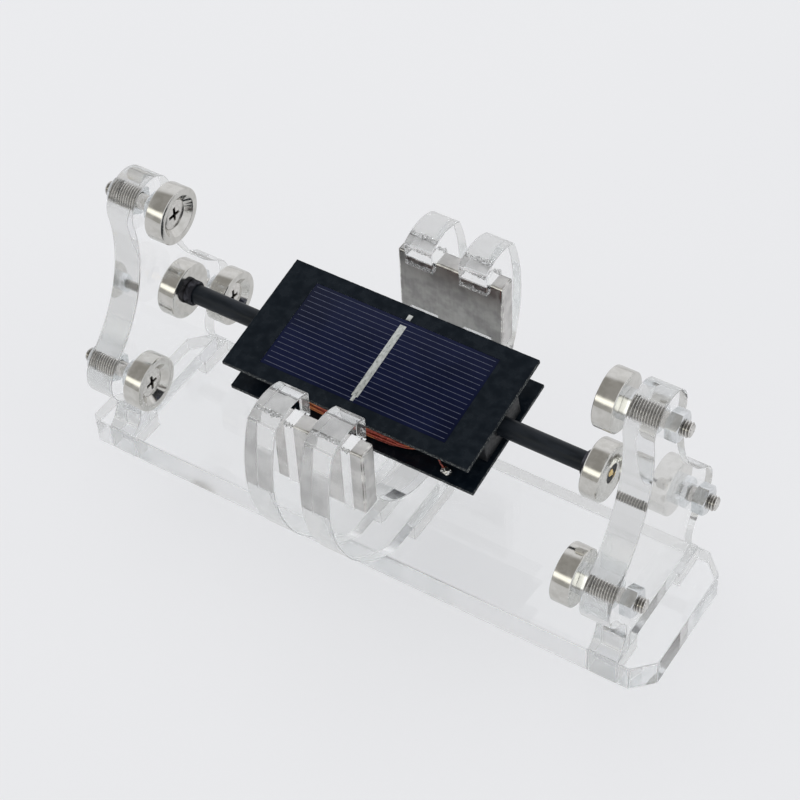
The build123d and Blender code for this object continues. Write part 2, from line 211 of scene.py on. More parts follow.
# Base, stands and cradle plates: 8 mm cast acrylic sheet, cut by laser, so the sheet's faces are
# polished and the cut edges carry fine lines across the sheet. The edges are hardly broken. The
# screws cut their own thread in the stands, so they touch the acrylic all along.
MM = 0.001
SHEET = 8.0
AXIS_Z = 47.7
RING_CIRCLE_RADIUS = 25.2
RING_ANGLES = (90, 225, -45)
SEATS_YZ = [
    (
        RING_CIRCLE_RADIUS * math.cos(math.radians(angle)),
        AXIS_Z + RING_CIRCLE_RADIUS * math.sin(math.radians(angle)),
    )
    for angle in RING_ANGLES
]
HOLE_REACH = 2.6
TAPPED_RADIUS = 1.45
MERGE = 1e-6
FLAT_ANGLE = math.radians(1)
SHARP_ANGLE = math.radians(28)
SHEET_BEVEL = 0.00022
ACRYLIC_FACE = (0.998, 0.999, 0.999, 1)
BASE_EDGE = (0.88, 0.885, 0.90, 1)
STAND_EDGE = (0.84, 0.845, 0.85, 1)
CRADLE_EDGE = (0.895, 0.90, 0.905, 1)
# Painted shade on the acrylic's rounded edges; glued faces take part of this tint as a darker
# joint.
ACRYLIC_EDGE_SHADE = (0.70, 0.705, 0.71, 1)
GLUED = 0.65
HOOK_TOP = 64.6
HOOK_INSIDE = 26.8
HOOK_OUTSIDE = 40.1
HOOK_ARCH = 1.9
HOOK_CUTS = 9
HOOK_FULLNESS = 0.8
SQUARE_ON = 0.99
RIM_MARGIN = 0.002
LIT_THROUGH = (0.98, 0.985, 0.985, 1)
THROWN_OUT = 0.88
CORNER_GLOSS = 0.3
ALONG_X = (1, 0, 0)
LINES_ACROSS_X = (0.06, 1, 1)


def drawn_in(vert):
    """The walls of a screw's hole drawn in onto the screw."""
    for y, z in SEATS_YZ:
        away = Vector((0, vert.co.y - MM * y, vert.co.z - MM * z))
        if away.length < MM * HOLE_REACH:
            vert.co += away.normalized() * (MM * TAPPED_RADIUS - away.length)


def arched(made):
    """The flat tops of a cradle plate's hooks raised in a shallow arch."""
    made.normal_update()
    tops = [
        f for f in made.faces
        if f.normal.z > SQUARE_ON and f.calc_center_median().z > MM * (HOOK_TOP - 0.1)
    ]
    for top in tops:
        along = [e for e in top.edges if abs(e.verts[0].co.y - e.verts[1].co.y) > 5 * MM]
        bmesh.ops.subdivide_edges(made, edges=along, cuts=HOOK_CUTS, use_grid_fill=True)
    for vert in made.verts:
        share = (abs(vert.co.y) / MM - HOOK_INSIDE) / (HOOK_OUTSIDE - HOOK_INSIDE)
        if vert.co.z > MM * (HOOK_TOP - 0.01) and 0 < share < 1:
            vert.co.z += MM * HOOK_ARCH * math.sin(math.pi * share) ** HOOK_FULLNESS


def is_glued(face, axis):
    """True for the feet below the base's top and for the slots that take them."""
    middle = face.calc_center_median()
    if axis[2]:
        square = max(abs(face.normal.x), abs(face.normal.y)) > SQUARE_ON
        return square and all(
            cad_low[i] + RIM_MARGIN < middle[i] < cad_high[i] - RIM_MARGIN for i in (0, 1)
        )
    return middle.z < MM * SHEET


def softened_copy(node, name, bevel, axis=None, segments=2):
    """A merged copy of a CAD node with its edges rounded. It notes which faces are edges."""
    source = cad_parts[node].data
    made = bmesh.new()
    edge_mark = made.faces.layers.float.new("rounded_edges_and_joints")
    cut = made.faces.layers.float.new("cut_edge")
    points = [made.verts.new(v.co) for v in source.vertices]
    for face in source.polygons:
        made.faces.new([points[i] for i in face.vertices])
    bmesh.ops.remove_doubles(made, verts=made.verts, dist=MERGE)
    if node.endswith("_stand"):
        for vert in made.verts:
            drawn_in(vert)
    bmesh.ops.dissolve_limit(
        made, angle_limit=FLAT_ANGLE, verts=made.verts[:], edges=made.edges[:]
    )
    if "cradle" in node:
        arched(made)
    sharp = [
        e for e in made.edges if len(e.link_faces) == 2 and e.calc_face_angle() > SHARP_ANGLE
    ]
    rounded = bmesh.ops.bevel(
        made, geom=sharp, offset=bevel, segments=segments, profile=0.5, affect="EDGES",
        clamp_overlap=True,
    )
    bevelled = set(rounded["faces"])
    made.normal_update()
    for edge in made.edges:
        pair = edge.link_faces
        rounded_sides = sum(f in bevelled for f in pair)
        if axis is None or rounded_sides == 0:
            edge.smooth = len(pair) == 2 and edge.calc_face_angle() < SHARP_ANGLE
        else:
            edge.smooth = rounded_sides == 2
    # The edge mark sets painted shade on acrylic edges and a mottle of wear and painted highlight
    # on the block magnets; glued faces get part of it.
    for face in made.faces:
        face[edge_mark] = 1 if face in bevelled else 0
        face[cut] = 0 if axis is None else 1 - abs(face.normal.dot(Vector(axis)))
        if axis is not None and face not in bevelled and is_glued(face, axis):
            face[edge_mark] = GLUED
    for face in made.faces:
        face.smooth = True
    mesh = bpy.data.meshes.new(name)
    made.to_mesh(mesh)
    made.free()
    return mesh


def made_mesh(made, name):
    """A mesh from a bmesh, smooth but for its sharp edges."""
    mesh = bpy.data.meshes.new(name)
    made.to_mesh(mesh)
    made.free()
    mesh.shade_smooth()
    mesh.set_sharp_from_angle(angle=SHARP_ANGLE)
    return mesh


def fitted(name, mesh, material, body, slot, *nodes):
    """A piece in its place, on its body, for the CAD nodes that it stands for."""
    piece = placed(name, mesh)
    mesh.materials.clear()
    mesh.materials.append(material)
    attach(piece, body)
    if nodes:
        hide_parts(*nodes)
    return piece


def shader_group(name, inputs, outputs):
    """An empty shader node group with named sockets."""
    group = bpy.data.node_groups.new(name, "ShaderNodeTree")
    for socket, kind, value in inputs:
        made = group.interface.new_socket(socket, in_out="INPUT", socket_type=kind)
        made.default_value = value
    for socket, kind in outputs:
        group.interface.new_socket(socket, in_out="OUTPUT", socket_type=kind)
    return group, group.nodes.new("NodeGroupInput"), group.nodes.new("NodeGroupOutput")


# Uneven finish: slow change in gloss with a slight relief, stretched along one direction
uneven, uneven_start, uneven_out = shader_group(
    "uneven_finish",
    (
        ("Stretch", "NodeSocketVector", (1, 1, 1)),
        ("Scale", "NodeSocketFloat", 300.0),
        ("Low", "NodeSocketFloat", 0.1),
        ("High", "NodeSocketFloat", 0.3),
        ("Relief", "NodeSocketFloat", 0.0),
    ),
    (("Gloss", "NodeSocketFloat"), ("Mask", "NodeSocketFloat"), ("Normal", "NodeSocketVector")),
)
uneven_in = uneven_start.outputs
uneven_place = add_node(uneven, "ShaderNodeTexCoord").outputs["Object"]
uneven_spread = add_node(
    uneven, "ShaderNodeVectorMath", {0: uneven_place, 1: uneven_in["Stretch"]},
    operation="MULTIPLY",
).outputs[0]
uneven_noise = add_node(
    uneven, "ShaderNodeTexNoise",
    {"Vector": uneven_spread, "Scale": uneven_in["Scale"], "Detail": 4.0},
).outputs[0]
uneven_gloss = ranged(uneven, uneven_noise, 0.32, 0.68, uneven_in["Low"], uneven_in["High"])
uneven_bump = add_node(
    uneven, "ShaderNodeBump",
    {"Strength": 1.0, "Distance": uneven_in["Relief"], "Height": uneven_noise},
)
uneven.links.new(uneven_gloss, uneven_out.inputs["Gloss"])
uneven.links.new(ranged(uneven, uneven_noise, 0.35, 0.65), uneven_out.inputs["Mask"])
uneven.links.new(uneven_bump.outputs[0], uneven_out.inputs["Normal"])


def finish_of(material, group, **values):
    """A shared effect placed in a material with its own values."""
    made = material.node_tree.nodes.new("ShaderNodeGroup")
    made.node_tree = group
    for key, value in values.items():
        made.inputs[key].default_value = value
    return made.outputs


def new_material(name, **plain):
    """A material whose plain values stand on the shader's own sockets."""
    material = bpy.data.materials.new(name)
    material.use_nodes = True
    skin = material.node_tree.nodes["Principled BSDF"]
    for key, value in plain.items():
        skin.inputs[key.replace("_", " ")].default_value = value
    return material, material.node_tree, skin


def dressed(skin, tone, gloss, normal):
    """A shader given its colour, gloss and relief."""
    for socket, value in (("Base Color", tone), ("Roughness", gloss), ("Normal", normal)):
        skin.id_data.links.new(value, skin.inputs[socket])


def attribute(tree, name):
    """A value that the mesh carries."""
    return add_node(tree, "ShaderNodeAttribute", attribute_name=name).outputs["Fac"]


def acrylic(name, stretch, edge):
    """Clear acrylic. The stretch runs the cut's fine lines across the sheet. Light thrown back
    inside the sheet mostly leaves at the next face, as it does in a photographer's white tent."""
    material, tree, skin = new_material(
        name, IOR=1.49, Transmission_Weight=1.0, Metallic=0.0
    )
    cut = attribute(tree, "cut_edge")
    corner = attribute(tree, "rounded_edges_and_joints")
    lines = finish_of(
        material, uneven, Stretch=stretch, Scale=900.0, Low=0.0, High=0.07, Relief=0.000008
    )
    smudge = finish_of(material, uneven, Scale=90.0, Low=0.0, High=0.02)
    gloss = blended(tree, cut, smudge["Gloss"], lines["Gloss"])
    gloss = blended(tree, corner, gloss, CORNER_GLOSS)
    level = add_node(tree, "ShaderNodeNewGeometry").outputs["Normal"]
    relief = add_node(
        tree, "ShaderNodeMix", {0: cut, 4: level, 5: lines["Normal"]}, data_type="VECTOR"
    )
    tint = mixed(tree, cut, ACRYLIC_FACE, edge)
    # Painted shade: the rounded edges take the darker edge tint in full, for the dark lines that
    # glass edges show. Glued faces take part of it as a darker joint.
    dressed(skin, mixed(tree, corner, tint, ACRYLIC_EDGE_SHADE), gloss, relief.outputs[1])
    rays = add_node(tree, "ShaderNodeLightPath").outputs
    open_way = add_node(tree, "ShaderNodeBsdfTransparent", {0: LIT_THROUGH}).outputs[0]
    lit = add_node(
        tree, "ShaderNodeMixShader", {0: rays["Is Shadow Ray"], 1: skin.outputs[0], 2: open_way}
    )
    thrown = add_node(tree, "ShaderNodeMixShader", {0: THROWN_OUT, 1: skin.outputs[0], 2: open_way})
    surface = add_node(
        tree, "ShaderNodeMixShader",
        {0: rays["Is Reflection Ray"], 1: lit.outputs[0], 2: thrown.outputs[0]},
    )
    tree.links.new(surface.outputs[0], tree.nodes["Material Output"].inputs["Surface"])
    return material


for node, axis, stretch, edge in (
    ("base_plate", (0, 0, 1), (1, 1, 0.06), BASE_EDGE),
    ("left_stand", ALONG_X, LINES_ACROSS_X, STAND_EDGE),
    ("right_stand", ALONG_X, LINES_ACROSS_X, STAND_EDGE),
    ("left_cradle_plate", ALONG_X, LINES_ACROSS_X, CRADLE_EDGE),
    ("right_cradle_plate", ALONG_X, LINES_ACROSS_X, CRADLE_EDGE),
):
    name = node.replace("_plate", "") + "_sheet"
    finish = name.split("_")[-2] + "_acrylic"
    material = bpy.data.materials.get(finish) or acrylic(finish, stretch, edge)
    mesh = softened_copy(node, name, SHEET_BEVEL, axis)
    fitted(name, mesh, material, "stand", "clear_acrylic", node)


# Block magnets: sintered blocks plated with nickel, ground flat and then handled, so the faces
# are satin grey with scratches and dark spots. The faces towards the rotor carry painted shade,
# and the rounded edges carry a mottle of wear and painted highlight. They are drawn a hair
# smaller than their pockets, so that metal and acrylic share no face.
EDGE_GLOSS = 0.18
BLOCK_BEVEL = 0.00018
BLOCK_SLACK = 0.988
FACING_ROTOR = 0.9
block_nickel, block_tree, block_skin = new_material("block_nickel", Metallic=1.0)
grind = finish_of(
    block_nickel, uneven, Stretch=(1, 1, 0.15), Scale=1400.0, Low=0.36, High=0.52, Relief=0.000008
)
stain = finish_of(block_nickel, uneven, Scale=260.0, Low=0.0, High=1.0)
edge_wear_and_sheen = attribute(block_tree, "rounded_edges_and_joints")
block_tone = mixed(block_tree, stain["Mask"], (0.58, 0.572, 0.565, 1), (0.74, 0.73, 0.72, 1))
# Painted shade: the faces towards the rotor take a darker tone, for the shade they sit in.
inner = attribute(block_tree, "towards_rotor")
painted_shade_tone = mixed(block_tree, stain["Mask"], (0.31, 0.305, 0.30, 1), (0.44, 0.435, 0.425, 1))
block_tone = mixed(block_tree, inner, block_tone, painted_shade_tone)
# Rounded edges: a mottle of dark wear marks and painted highlight.
wear_and_highlight_tone = mixed(block_tree, stain["Mask"], (0.22, 0.215, 0.21, 1), (0.88, 0.87, 0.84, 1))
block_tone = mixed(block_tree, edge_wear_and_sheen, block_tone, wear_and_highlight_tone)
block_gloss = blended(block_tree, edge_wear_and_sheen, grind["Gloss"], EDGE_GLOSS)
dressed(block_skin, block_tone, block_gloss, grind["Normal"])
for node in ("front_block_magnet", "rear_block_magnet"):
    name = node.replace("magnet", "body")
    mesh = softened_copy(node, name, BLOCK_BEVEL)
    middle = sum((v.co for v in mesh.vertices), Vector()) / len(mesh.vertices)
    clearance = Matrix.Diagonal((1, BLOCK_SLACK, 1 - (1 - BLOCK_SLACK) / 4, 1))
    mesh.transform(Matrix.Translation(middle) @ clearance @ Matrix.Translation(-middle))
    # The faces towards the rotor are marked here for that painted shade.
    facing = mesh.attributes.new("towards_rotor", "FLOAT", "FACE")
    for face, value in zip(mesh.polygons, facing.data):
        inward = -face.normal.y * face.center.y
        value.value = 1.0 if inward > FACING_ROTOR * abs(face.center.y) else 0.0
    fitted(name, mesh, block_nickel, "stand", "block_nickel", node)


# Ring magnets on the stands: nickel-plated rings with rounded rims and a countersink for the
# screw. Each sits against a nut and faces the rotor.
GROUP_X = -1.0
RING_FACE = 59.0
RING_THICKNESS = 5.0
RING_RADIUS = 7.5
RIM_ROUND = 0.45
ROUND_STEPS = 3
BORE_RADIUS = 2.1
MOUTH_RADIUS = 5.6
SIDES = 72
NEAR = 1e-5


def corner_round(points, radius):
    """A closed outline with its corners rounded, where a corner's own radius isn't 0."""
    rounded = []
    count = len(points)
    for i, point in enumerate(points):
        here, before, after = (Vector(points[k % count][:2]) for k in (i, i - 1, i + 1))
        own = point[2] if len(point) > 2 else radius
        if own <= 0:
            rounded.append(tuple(here))
            continue
        start = here + (before - here).normalized() * own
        end = here + (after - here).normalized() * own
        for step in range(ROUND_STEPS + 1):
            t = step / ROUND_STEPS
            rounded.append(tuple((1 - t) ** 2 * start + 2 * t * (1 - t) * here + t * t * end))
    return rounded


def turned(outline):
    """A closed body turned about X, from (x, radius) points or what gives them for an angle."""
    made = bmesh.new()
    columns = []
    for k in range(SIDES):
        turn = 2 * math.pi * k / SIDES
        points = outline(turn) if callable(outline) else outline
        columns.append(
            [made.verts.new((x, r * math.cos(turn), r * math.sin(turn))) for x, r in points]
        )
    count = len(columns[0])
    for k in range(SIDES):
        near, far = columns[k], columns[(k + 1) % SIDES]
        for i in range(count):
            j = (i + 1) % count
            made.faces.new((near[i], near[j], far[j], far[i]))
    bmesh.ops.remove_doubles(made, verts=made.verts, dist=NEAR)
    bmesh.ops.dissolve_degenerate(made, edges=made.edges[:], dist=NEAR)
    bmesh.ops.recalc_face_normals(made, faces=made.faces[:])
    return made


def scaled_mesh(made, name, place=Matrix()):
    """A mesh in metres from one drawn in millimetres."""
    bmesh.ops.transform(made, matrix=Matrix.Scale(MM, 4) @ place, verts=made.verts[:])
    return made_mesh(made, name)


def shape_tree(name, **inputs):
    """A geometry node tree with named inputs, given by the ends of their kinds' names."""
    tree = bpy.data.node_groups.new(name, "GeometryNodeTree")
    for socket, kind in {"Geometry": "Geometry", **inputs}.items():
        tree.interface.new_socket(
            socket.replace("_", " "), in_out="INPUT", socket_type="NodeSocket" + kind
        )
    tree.interface.new_socket("Geometry", in_out="OUTPUT", socket_type="NodeSocketGeometry")
    return tree, tree.nodes.new("NodeGroupInput").outputs


def ended(tree, last, last_step, finish):
    """The tree's end: one last step, then the material on the result."""
    done = add_node(tree, last_step, {0: last.outputs[0]})
    done = add_node(tree, "GeometryNodeSetMaterial", {0: done.outputs[0], "Material": finish})
    add_node(tree, "NodeGroupOutput", {0: done.outputs[0]})


# Seats: the tree sets one piece on every point of a mesh, turned as the point says
seats, seats_in = shape_tree(
    "set_on_seats", Piece="Object", Finish="Material", Roll="Float", Seed="Int",
    Size_Spread="Float",
)
seats_roll = add_node(
    seats, "FunctionNodeRandomValue", {2: 0.0, 3: seats_in["Roll"], 8: seats_in["Seed"]},
    data_type="FLOAT",
)
seats_turn = add_node(seats, "GeometryNodeInputNamedAttribute", {0: "turn"}, data_type="FLOAT")
seats_way = add_node(
    seats, "ShaderNodeCombineXYZ", {0: seats_roll.outputs[1], 2: seats_turn.outputs[0]}
)
seats_least = maths(seats, "SUBTRACT", 1.0, seats_in["Size Spread"])
seats_most = maths(seats, "ADD", 1.0, seats_in["Size Spread"])
seats_size = add_node(
    seats, "FunctionNodeRandomValue", {0: seats_least, 1: seats_most, 8: seats_in["Seed"]},
    data_type="FLOAT_VECTOR",
)
seats_piece = add_node(seats, "GeometryNodeObjectInfo", {"Object": seats_in["Piece"]})
seats_set = add_node(
    seats, "GeometryNodeInstanceOnPoints",
    {
        "Points": seats_in["Geometry"], "Instance": seats_piece.outputs["Geometry"],
        "Rotation": seats_way.outputs[0], "Scale": seats_size.outputs[0],
    },
)
ended(seats, seats_set, "GeometryNodeRealizeInstances", seats_in["Finish"])


def grown(name, mesh, tree, values):
    """The plain mesh that a tree makes from a mesh and its named inputs."""
    holder = placed(name, mesh)
    worker = holder.modifiers.new("tree", "NODES")
    worker.node_group = tree
    for item in tree.interface.items_tree:
        if item.in_out == "INPUT" and item.name in values:
            worker[item.identifier] = values[item.name]
    holder.update_tag()
    depsgraph = bpy.context.evaluated_depsgraph_get()
    depsgraph.update()
    result = bpy.data.meshes.new_from_object(holder.evaluated_get(depsgraph), depsgraph=depsgraph)
    bpy.data.objects.remove(holder)
    result.name = name
    return result


def set_out(name, made, points, turns, material, **values):
    """The mesh of a piece set on every point, each with its own turn."""
    one = placed(name + "_one", scaled_mesh(made, name + "_one"))
    mesh = bpy.data.meshes.new(name)
    mesh.from_pydata(points, [], [])
    mesh.attributes.new("turn", "FLOAT", "POINT").data.foreach_set("value", turns)
    result = grown(name, mesh, seats, {"Piece": one, "Finish": material, **values})
    bpy.data.objects.remove(one)
    return result


def on_seats(name, made, distance, material, slot, nodes, roll=0.0, seed=1):
    """One like piece for every ring magnet, drawn from 0 along +X, away from the rotor."""
    points, turns = [], []
    for side in (-1, 1):
        for across, height in SEATS_YZ:
            points.append((MM * (GROUP_X + side * distance), MM * across, MM * height))
            turns.append(0.0 if side > 0 else math.pi)
    result = set_out(name, made, points, turns, material, Roll=roll, Seed=seed)
    return fitted(name, result, material, "stand", slot, *nodes)


def seat_nodes(*endings):
    """The CAD nodes at every seat whose names end so."""
    return [
        f"{side}_{place}_{ending}"
        for side in ("left", "right") for place in ("top", "front", "rear") for ending in endings
    ]


def plain_look(name, darker, lighter, finish, **plain):
    """A material whose colour, gloss and relief all follow one uneven finish."""
    material, tree, skin = new_material(name, **plain)
    marks = finish_of(material, uneven, **finish)
    dressed(skin, mixed(tree, marks["Mask"], darker, lighter), marks["Gloss"], marks["Normal"])
    return material


ring_nickel = plain_look(
    "ring_nickel", (0.64, 0.63, 0.60, 1), (0.72, 0.71, 0.685, 1),
    dict(Scale=520.0, Low=0.07, High=0.17, Relief=0.000004), Metallic=1.0,
)
ring_outline = corner_round(
    [
        (MOUTH_RADIUS - BORE_RADIUS, BORE_RADIUS, 0.1),
        (0, MOUTH_RADIUS, 0.12),
        (0, RING_RADIUS),
        (RING_THICKNESS, RING_RADIUS),
        (RING_THICKNESS, BORE_RADIUS, 0.1),
    ],
    RIM_ROUND,
)
on_seats(
    "stand_ring_magnets", turned(ring_outline), RING_FACE, ring_nickel, "ring_nickel",
    seat_nodes("magnet"),
)


# Screws: M4 x 20 countersunk steel screws with a cross recess. The head sits deep in the
# magnet's countersink and the thread runs through the clear stand to the outer nut.
SCREW_LENGTH = 20.0
HEAD_DEPTH = 1.4
HEAD_RADIUS = 3.9
THREAD_PITCH = 0.7
THREAD_ROOT = 1.58
THREAD_CREST = 1.98
THREAD_START = 2.6
THREAD_SHADE = 0.6
THREAD_ROWS = ((0.0, THREAD_ROOT), (0.12, THREAD_ROOT), (0.5, THREAD_CREST), (0.62, THREAD_CREST))
HEAD_OUTLINE = (
    (0, HEAD_RADIUS - 0.22), (0.04, HEAD_RADIUS - 0.07), (0.12, HEAD_RADIUS),
    (0.34, HEAD_RADIUS), (2.2, 2.0), (THREAD_START, THREAD_ROOT),
)
SCREW_SIDES = 48
CROSS_REACH = 2.15
CROSS_HALF_WIDTH = 0.5
CROSS_DEPTH = 1.6


def cross_corners(made, x, reach, half):
    """The twelve corners of a cross, all at one depth."""
    spots = [(reach, -half), (reach, half), (half, half)]
    corners = []
    for quarter in range(4):
        turn = quarter * math.pi / 2
        c, s = math.cos(turn), math.sin(turn)
        corners += [made.verts.new((x, y * c - z * s, y * s + z * c)) for y, z in spots]
    return corners


def rows_joined(made, near, far):
    """Faces between two rings of as many points."""
    count = len(near)
    for k in range(count):
        made.faces.new((near[k], near[(k + 1) % count], far[(k + 1) % count], far[k]))


def screw():
    """The head's top is at 0 and the thread runs along +X."""
    made = bmesh.new()
    # This layer marks where shade is painted: the cross recess in full, the thread roots in part.
    deep = made.verts.layers.float.new("recess")
    turns = [2 * math.pi * k / SCREW_SIDES for k in range(SCREW_SIDES)]

    def ring(x, radius):
        return [made.verts.new((x, radius * math.cos(a), radius * math.sin(a))) for a in turns]

    head = [ring(x, r) for x, r in HEAD_OUTLINE]
    for near, far in zip(head, head[1:]):
        rows_joined(made, near, far)
    mouth = cross_corners(made, 0, CROSS_REACH, CROSS_HALF_WIDTH)
    edges = []
    for loop in (head[0], mouth):
        for k, vert in enumerate(loop):
            pair = (vert, loop[(k + 1) % len(loop)])
            edges.append(made.edges.get(pair) or made.edges.new(pair))
    bmesh.ops.triangle_fill(made, use_beauty=True, edges=edges)
    depths = [mouth]
    for x, reach, half in ((0.5, 1.75, 0.36), (CROSS_DEPTH * 0.8, 0.8, 0.24)):
        depths.append(cross_corners(made, x, reach, half))
        for vert in depths[-1]:
            vert[deep] = 1
    for near, far in zip(depths, depths[1:]):
        rows_joined(made, near, far)
    bottom = made.verts.new((CROSS_DEPTH, 0, 0))
    bottom[deep] = 1
    for k, vert in enumerate(depths[-1]):
        made.faces.new((vert, depths[-1][(k + 1) % 12], bottom))
    end = SCREW_LENGTH
    count = 4 * (int((end - THREAD_START) / THREAD_PITCH) + 3)
    rows = []
    for i in range(-4, count):
        share, radius = THREAD_ROWS[i % 4]
        row = []
        for k, a in enumerate(turns):
            x = THREAD_START + THREAD_PITCH * (i // 4 + share + k / SCREW_SIDES)
            x = min(max(x, THREAD_START), end)
            r = min(radius, THREAD_ROOT + 0.7 * (x - THREAD_START), THREAD_ROOT + end - x)
            row.append(made.verts.new((x, r * math.cos(a), r * math.sin(a))))
            row[-1][deep] = THREAD_SHADE if radius == THREAD_ROOT else 0
        rows.append(row)
    for i in range(len(rows) - 5):
        for k in range(SCREW_SIDES):
            a, b = rows[i + 4][0], rows[i + 5][0]
            if k + 1 < SCREW_SIDES:
                a, b = rows[i][k + 1], rows[i + 1][k + 1]
            made.faces.new((rows[i][k], a, b, rows[i + 1][k]))
    tip = made.verts.new((end, 0, 0))
    last = ring(end, THREAD_ROOT)
    for k in range(SCREW_SIDES):
        made.faces.new((last[k], last[(k + 1) % SCREW_SIDES], tip))
    bmesh.ops.remove_doubles(made, verts=made.verts[:], dist=NEAR)
    bmesh.ops.dissolve_degenerate(made, edges=made.edges[:], dist=NEAR)
    loose = [f for f in made.faces if f.calc_area() < 1e-9]
    bmesh.ops.delete(made, geom=loose, context="FACES")
    bmesh.ops.recalc_face_normals(made, faces=made.faces[:])
    return made


screw_steel, screw_tree, screw_skin = new_material("screw_steel", Metallic=1.0)
drawn = finish_of(screw_steel, uneven, Scale=1500.0, Low=0.12, High=0.26, Relief=0.000001)
screw_tone = mixed(screw_tree, drawn["Mask"], (0.68, 0.665, 0.64, 1), (0.82, 0.805, 0.78, 1))
# Painted shade: the cross recess is dark in full and the thread roots in part.
screw_tone = mixed(screw_tree, attribute(screw_tree, "recess"), screw_tone, (0.05, 0.045, 0.04, 1))
dressed(screw_skin, screw_tone, drawn["Gloss"], drawn["Normal"])
on_seats(
    "cross_head_screws", screw(), RING_FACE + HEAD_DEPTH, screw_steel, "screw_steel",
    seat_nodes("screw"), roll=math.pi, seed=5,
)


# Cement: clear blobs of acrylic cement squeezed out where the block magnets sit in the cradle's
# hooks, along the lips and along the magnets' upper outer edges, and set in the joint.
CEMENT_SIZE = 0.42
CEMENT_LINES = ((28.62, 57.5), (33.78, 59.75))
CEMENT_STEP = 0.62
CEMENT_LUMPS = 0.45
CEMENT_SPREAD = 0.45
PLATE_STARTS = (-12.75, 2.75)
rng = random.Random(21)
spots, turns = [], []
for start in PLATE_STARTS:
    for y, z in CEMENT_LINES:
        for side in (-1, 1):
            for k in range(int(SHEET / CEMENT_STEP)):
                x = start + CEMENT_STEP * (k + 0.5) + rng.uniform(-0.25, 0.25)
                off, lift = rng.uniform(-0.04, 0.04), rng.uniform(-0.3, 0.3)
                spots.append((MM * x, MM * side * (y + off), MM * (z + lift)))
                turns.append(rng.uniform(0, math.pi))
blob = bmesh.new()
bmesh.ops.create_icosphere(blob, subdivisions=2, radius=CEMENT_SIZE)
for vert in blob.verts:
    vert.co *= 1 + CEMENT_LUMPS * noise.noise(vert.co * 3.0)
clear_cement = plain_look(
    "clear_cement", (0.90, 0.90, 0.89, 1), (0.98, 0.98, 0.98, 1),
    dict(Scale=1500.0, Low=0.08, High=0.4, Relief=0.00004),
    IOR=1.47, Transmission_Weight=0.75, Metallic=0.0,
)
beads = set_out(
    "cement_beads", blob, spots, turns, clear_cement,
    **{"Roll": math.pi, "Seed": 4, "Size Spread": CEMENT_SPREAD},
)
fitted("cement_beads", beads, clear_cement, "stand", "clear_acrylic")


# Nuts: zinc-plated M4 hexagon nuts, chamfered on both faces. One spaces each magnet off its
# stand, and the other clamps the screw on the stand's outside.
NUT_HALF_FLATS = 3.5
NUT_THICKNESS = 3.17
NUT_FACE_RADIUS = 3.45
NUT_SEAT_RADIUS = 3.85
NUT_CORNER_RADIUS = 3.98
NUT_CHAMFER = math.tan(math.radians(30))
NUT_BORE = 2.02
STAND_OUTSIDE = 75.23
INNER_NUT_TURN = math.radians(-19.7)


def nut_outline(turn):
    """A nut's outline at one angle, where the hexagon meets the two chamfers."""
    sixth = math.pi / 3
    radius = NUT_HALF_FLATS / math.cos((turn + sixth / 2) % sixth - sixth / 2)
    radius = min(radius, NUT_CORNER_RADIUS)
    drop = max((radius - NUT_FACE_RADIUS) * NUT_CHAMFER, 0.03)
    near_drop = max((radius - NUT_SEAT_RADIUS) * NUT_CHAMFER, 0.02)
    return [
        (0.35, NUT_BORE), (0, NUT_BORE + 0.35), (0, min(radius - 0.05, NUT_SEAT_RADIUS)),
        (near_drop, radius - 0.02), (near_drop + 0.06, radius),
        (NUT_THICKNESS - drop - 0.06, radius), (NUT_THICKNESS - drop, radius - 0.02),
        (NUT_THICKNESS, NUT_FACE_RADIUS - 0.05), (NUT_THICKNESS, NUT_BORE + 0.35),
        (NUT_THICKNESS - 0.35, NUT_BORE),
    ]


nut_zinc = plain_look(
    "nut_zinc", (0.76, 0.78, 0.80, 1), (0.86, 0.88, 0.90, 1),
    dict(Scale=700.0, Low=0.14, High=0.26, Relief=0.000001), Metallic=1.0,
)
on_seats(
    "inner_nuts", turned(lambda turn: nut_outline(turn + INNER_NUT_TURN)),
    RING_FACE + RING_THICKNESS, nut_zinc, "nut_zinc", seat_nodes("inner_nut"), roll=0.02, seed=3,
)
on_seats(
    "outer_nuts", turned(nut_outline), STAND_OUTSIDE, nut_zinc, "nut_zinc",
    seat_nodes("outer_nut"), roll=0.12, seed=6,
)


# Rotor shafts and their magnets: black plastic tubes that carry a plain ring magnet at each end,
# held by rubber collars, with a brass pin in each bore. The left pin stops just off the stand.
black_tube = plain_look(
    "black_tube", (0.007, 0.010, 0.014, 1), (0.014, 0.018, 0.024, 1),
    dict(Stretch=(0.2, 1, 1), Scale=700.0, Low=0.32, High=0.5, Relief=0.00001),
    Specular_IOR_Level=0.2,
)
pin_brass = plain_look(
    "pin_brass", (0.62, 0.45, 0.20, 1), (0.78, 0.60, 0.30, 1),
    dict(Stretch=(1, 0.3, 0.3), Scale=2200.0, Low=0.14, High=0.3, Relief=0.000006),
    Metallic=1.0,
)
black_rubber, rubber_tree, rubber_skin = new_material("black_rubber", Specular_IOR_Level=0.3)
grainy = finish_of(black_rubber, uneven, Scale=1600.0, Low=0.55, High=0.8, Relief=0.00003)
scuffs = finish_of(black_rubber, uneven, Scale=420.0, Low=-0.8, High=1.0)
rubber_tone = mixed(rubber_tree, grainy["Mask"], (0.007, 0.008, 0.012, 1), (0.016, 0.016, 0.022, 1))
rubber_tone = mixed(rubber_tree, scuffs["Gloss"], rubber_tone, (0.07, 0.07, 0.085, 1))
dressed(rubber_skin, rubber_tone, grainy["Gloss"], grainy["Normal"])

